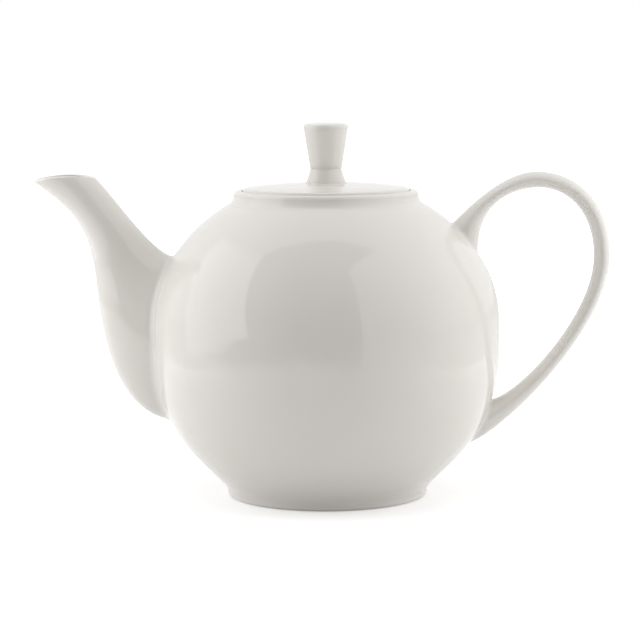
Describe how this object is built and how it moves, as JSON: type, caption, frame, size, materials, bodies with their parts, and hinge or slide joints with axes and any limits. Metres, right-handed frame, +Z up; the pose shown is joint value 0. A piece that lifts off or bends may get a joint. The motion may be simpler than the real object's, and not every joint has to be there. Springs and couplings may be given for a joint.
{
  "type": "teapot",
  "caption": "Round white porcelain teapot with a curved spout, a loop handle and a flat lift-off lid with a waisted knob.",
  "frame": {"origin": "on the pot's axis at the plane on which the foot ring rests", "axes": "+Z up along the pot's axis, +X towards the handle, -X towards the spout"},
  "size_m": [0.239, 0.144, 0.1556],
  "materials": {
    "glaze": "clear high-gloss glaze over white porcelain",
    "foot_ring": "glazed side with a bare, ground resting edge"
  },
  "bodies": {
    "pot": {"pot_body": "glaze", "foot_ring": "foot_ring", "rim_collar": "glaze", "spout": "glaze", "handle": "glaze"},
    "lid": {"lid_disc": "glaze", "lid_flange": "glaze", "lid_knob": "glaze"}
  },
  "joints": [
    {"name": "lid_lift", "type": "slide", "parent": "pot", "child": "lid", "axis": [0, 0, 1], "range_m": [0, 0.05]}
  ]
}
